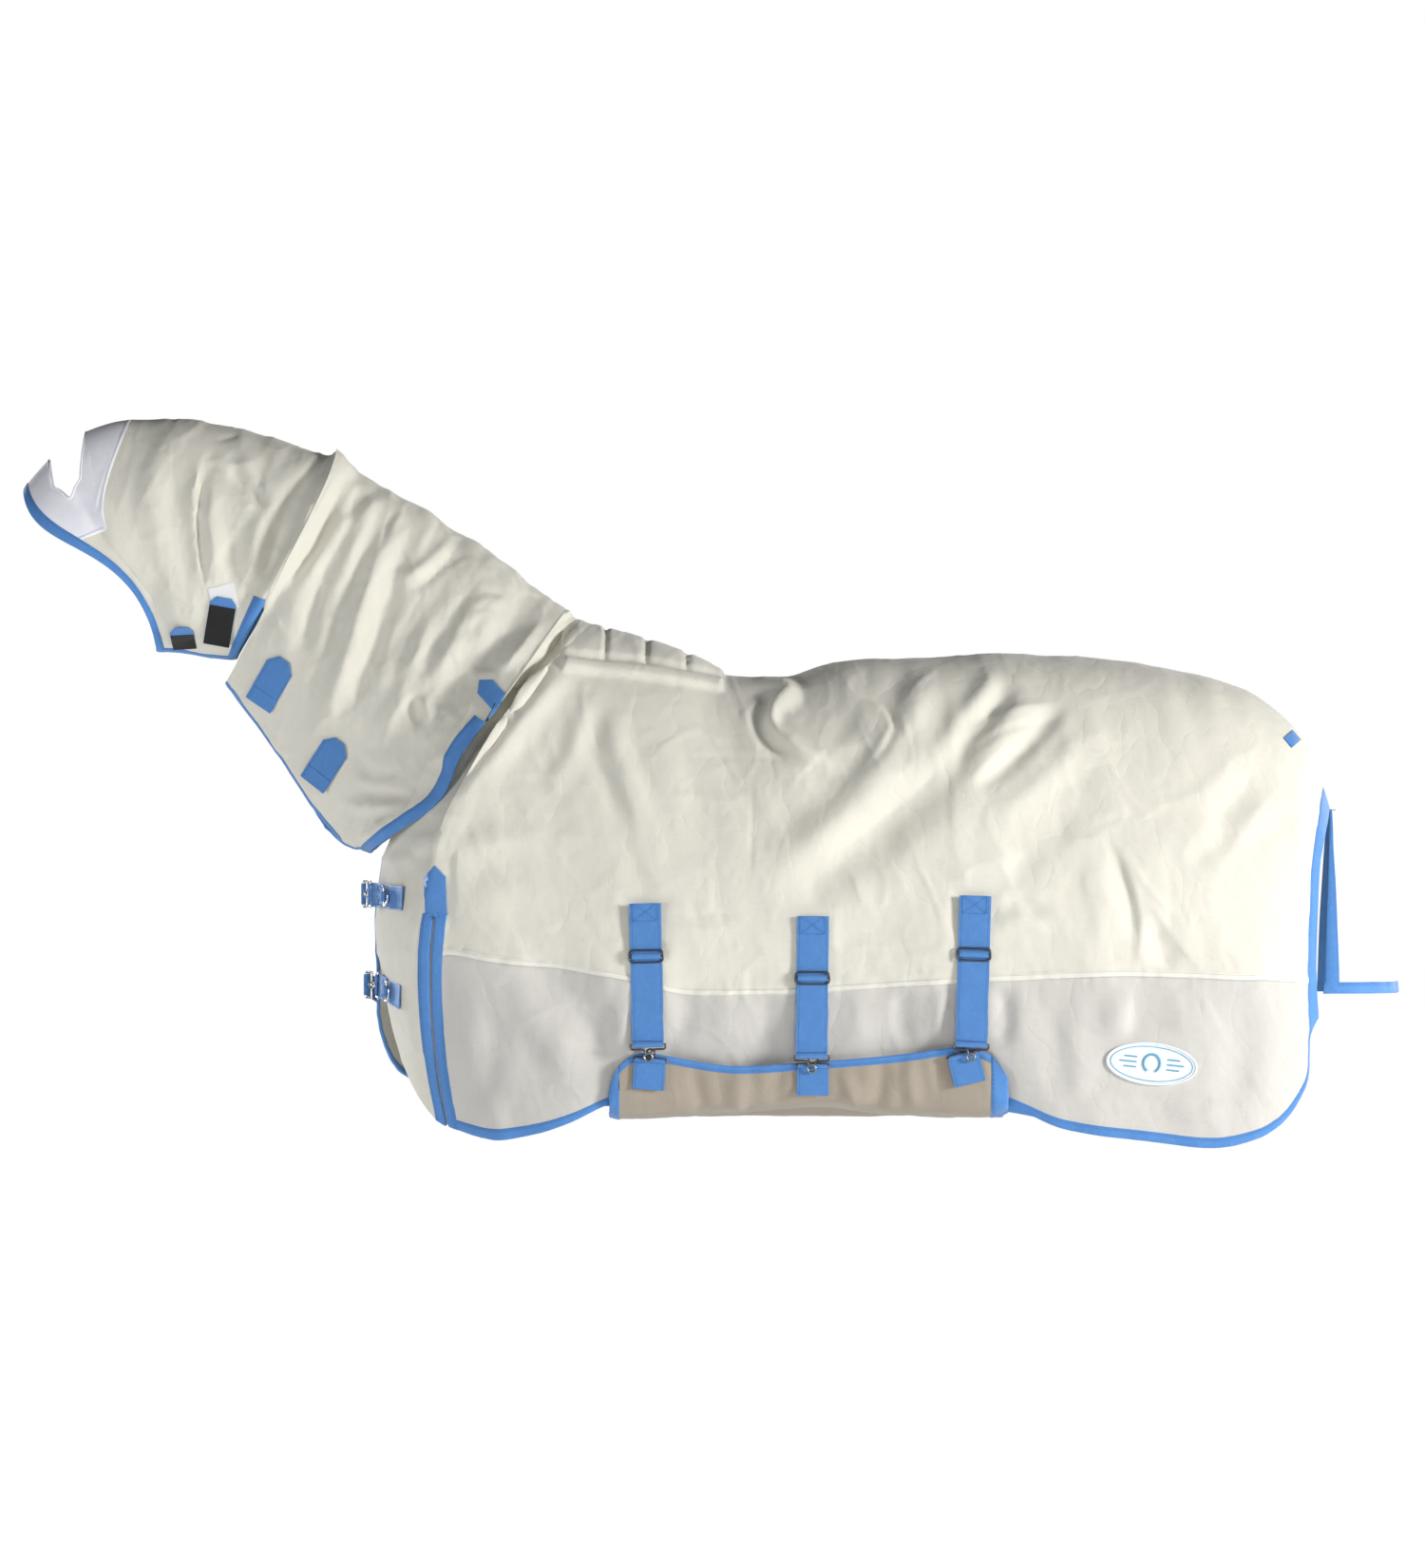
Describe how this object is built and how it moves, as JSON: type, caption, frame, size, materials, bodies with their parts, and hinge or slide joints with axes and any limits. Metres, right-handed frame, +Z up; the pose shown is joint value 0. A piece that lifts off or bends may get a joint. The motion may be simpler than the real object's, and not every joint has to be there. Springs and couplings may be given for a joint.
{
  "type": "fly sheet",
  "caption": "Horse fly sheet: mesh body cover with attached neck cover and hood, belly wrap on straps, tail flap and chest snap closures.",
  "frame": {"origin": "on the centre line, on the inner face of the cloth where the cover rests in the dip of the back", "axes": "+X towards the tail, +Y to the far (right) side, +Z up; the near (left) side faces -Y"},
  "size_m": [2.1783, 0.5916, 1.1517],
  "materials": {
    "cream_mesh": "fine woven fly mesh, matt",
    "skirt_cloth": "close woven cloth, matt",
    "wrap_cloth": "close woven cloth, matt, warmer in the shade",
    "flap_mesh": "fine woven fly mesh, matt",
    "pad_fleece": "brushed fleece",
    "stretch_cloth": "smooth stretch knit",
    "badge_face": "moulded soft badge, satin",
    "blue_binding": "folded binding tape",
    "blue_webbing": "flat woven webbing",
    "hook_tape": "hook tape, matt",
    "dark_metal": "gunmetal plate",
    "bright_metal": "nickel plate, polished"
  },
  "bodies": {
    "cover": {"side_panel_near": "cream_mesh", "side_panel_far": "cream_mesh", "skirt_panel_near": "skirt_cloth", "skirt_panel_far": "skirt_cloth", "chest_flap_near": "cream_mesh", "chest_flap_far": "cream_mesh", "hem_binding_near": "blue_binding", "hem_binding_far": "blue_binding", "rear_binding": "blue_binding", "gusset_binding": "blue_binding", "shoulder_gusset": "cream_mesh", "gusset_cap": "blue_webbing", "wither_pad": "pad_fleece", "rump_patch": "blue_webbing", "badge": "badge_face", "neck_panel_near": "cream_mesh", "neck_panel_far": "cream_mesh", "neck_binding": "blue_binding", "neck_cap": "blue_webbing", "hood_panel_near": "cream_mesh", "hood_panel_far": "cream_mesh", "ear_panel": "stretch_cloth", "hood_binding": "blue_binding", "strap_tops": "blue_webbing", "chest_tabs_near": "blue_webbing", "chest_tabs_far": "blue_webbing", "front_d_rings": "bright_metal", "snap_eyes": "bright_metal", "neck_tab_bases": "blue_webbing", "throat_tab_bases": "blue_webbing"},
    "strap_1": {"strap_1": "blue_webbing"},
    "strap_2": {"strap_2": "blue_webbing"},
    "strap_3": {"strap_3": "blue_webbing"},
    "adjuster_1": {"adjuster_1": "dark_metal", "adjuster_roll_1": "blue_webbing"},
    "adjuster_2": {"adjuster_2": "dark_metal", "adjuster_roll_2": "blue_webbing"},
    "adjuster_3": {"adjuster_3": "dark_metal", "adjuster_roll_3": "blue_webbing"},
    "t_hook_1": {"t_hook_1": "dark_metal"},
    "t_hook_2": {"t_hook_2": "dark_metal"},
    "t_hook_3": {"t_hook_3": "dark_metal"},
    "belly_wrap": {"belly_wrap": "wrap_cloth", "belly_wrap_binding": "blue_binding", "wrap_tabs": "blue_webbing", "slot_plates": "dark_metal"},
    "tail_flap": {"tail_flap": "flap_mesh", "tail_flap_binding": "blue_binding"},
    "spare_d_ring_1": {"spare_d_ring_1": "bright_metal"},
    "spare_d_ring_2": {"spare_d_ring_2": "bright_metal"},
    "snap_1": {"snap_body_1": "bright_metal"},
    "snap_2": {"snap_body_2": "bright_metal"},
    "snap_bolt_1": {"snap_bolt_1": "bright_metal"},
    "snap_bolt_2": {"snap_bolt_2": "bright_metal"},
    "neck_tab_1": {"neck_tab_1": "blue_webbing"},
    "neck_tab_2": {"neck_tab_2": "blue_webbing"},
    "throat_tab_1": {"throat_tab_1": "hook_tape"},
    "throat_tab_2": {"throat_tab_2": "hook_tape"}
  },
  "joints": [
    {"name": "strap_1_swing", "type": "hinge", "parent": "cover", "child": "strap_1", "pos_m": [-0.16518, -0.2896, -0.38999], "axis": [-0.9998, 0, -0.0209], "range_deg": [0, 70]},
    {"name": "adjuster_1_slide", "type": "slide", "parent": "strap_1", "child": "adjuster_1", "axis": [-0.0209, 0, 0.9998], "range_m": [-0.03, 0.02]},
    {"name": "t_hook_1_turn", "type": "hinge", "parent": "strap_1", "child": "t_hook_1", "pos_m": [-0.16135, -0.2898, -0.57295], "axis": [-0.9998, 0, -0.0209], "range_deg": [0, 75]},
    {"name": "strap_2_swing", "type": "hinge", "parent": "cover", "child": "strap_2", "pos_m": [0.09759, -0.29256, -0.41009], "axis": [-0.9999, 0, 0.0105], "range_deg": [0, 70]},
    {"name": "adjuster_2_slide", "type": "slide", "parent": "strap_2", "child": "adjuster_2", "axis": [0.0105, -0.0419, 0.9991], "range_m": [-0.03, 0.02]},
    {"name": "t_hook_2_turn", "type": "hinge", "parent": "strap_2", "child": "t_hook_2", "pos_m": [0.0957, -0.28519, -0.59093], "axis": [-0.9999, 0, 0.0105], "range_deg": [0, 75]},
    {"name": "strap_3_swing", "type": "hinge", "parent": "cover", "child": "strap_3", "pos_m": [0.35191, -0.295, -0.37799], "axis": [-0.9996, 0, 0.0279], "range_deg": [0, 70]},
    {"name": "adjuster_3_slide", "type": "slide", "parent": "strap_3", "child": "adjuster_3", "axis": [0.0279, 0, 0.9996], "range_m": [-0.03, 0.02]},
    {"name": "t_hook_3_turn", "type": "hinge", "parent": "strap_3", "child": "t_hook_3", "pos_m": [0.34647, -0.2952, -0.57291], "axis": [-0.9996, 0, 0.0279], "range_deg": [0, 75]},
    {"name": "belly_wrap_drop", "type": "hinge", "parent": "cover", "child": "belly_wrap", "pos_m": [0.09, 0.243, -0.69], "axis": [1, 0, 0], "range_deg": [0, 50]},
    {"name": "tail_flap_lift", "type": "hinge", "parent": "cover", "child": "tail_flap", "pos_m": [0.919, 0, -0.203], "axis": [0, -1, 0], "range_deg": [0, 70]},
    {"name": "spare_d_ring_1_flip", "type": "hinge", "parent": "cover", "child": "spare_d_ring_1", "pos_m": [-0.57935, -0.12747, -0.34093], "axis": [-0.0221, 0.0474, -0.9986], "range_deg": [0, 170]},
    {"name": "spare_d_ring_2_flip", "type": "hinge", "parent": "cover", "child": "spare_d_ring_2", "pos_m": [-0.57554, -0.12882, -0.49076], "axis": [-0.0457, 0.1496, -0.9877], "range_deg": [0, 170]},
    {"name": "snap_1_swivel", "type": "hinge", "parent": "cover", "child": "snap_1", "pos_m": [-0.60111, -0.07371, -0.338], "axis": [-0.1097, 0.994, 0], "range_deg": [-15, 15]},
    {"name": "snap_bolt_1_slide", "type": "slide", "parent": "snap_1", "child": "snap_bolt_1", "axis": [-0.1097, 0.994, 0], "range_m": [0, 0.006], "stiffness_N_per_m": 300, "springref_m": -0.002},
    {"name": "snap_2_swivel", "type": "hinge", "parent": "cover", "child": "snap_2", "pos_m": [-0.58943, -0.07314, -0.482], "axis": [-0.1782, 0.984, 0], "range_deg": [-15, 15]},
    {"name": "snap_bolt_2_slide", "type": "slide", "parent": "snap_2", "child": "snap_bolt_2", "axis": [-0.1782, 0.984, 0], "range_m": [0, 0.006], "stiffness_N_per_m": 300, "springref_m": -0.002},
    {"name": "neck_tab_1_peel", "type": "hinge", "parent": "cover", "child": "neck_tab_1", "pos_m": [-0.77857, -0.07938, -0.03864], "axis": [0.8115, -0.1972, -0.55], "range_deg": [0, 100]},
    {"name": "neck_tab_2_peel", "type": "hinge", "parent": "cover", "child": "neck_tab_2", "pos_m": [-0.69298, -0.09088, -0.16413], "axis": [0.7651, -0.2238, -0.6038], "range_deg": [0, 100]},
    {"name": "throat_tab_1_peel", "type": "hinge", "parent": "cover", "child": "throat_tab_1", "pos_m": [-0.84511, -0.07269, 0.05723], "axis": [0.9843, -0.0086, -0.1763], "range_deg": [0, 100]},
    {"name": "throat_tab_2_peel", "type": "hinge", "parent": "cover", "child": "throat_tab_2", "pos_m": [-0.89532, -0.04954, 0.05236], "axis": [0.9854, -0.1624, 0.0506], "range_deg": [0, 100]}
  ]
}
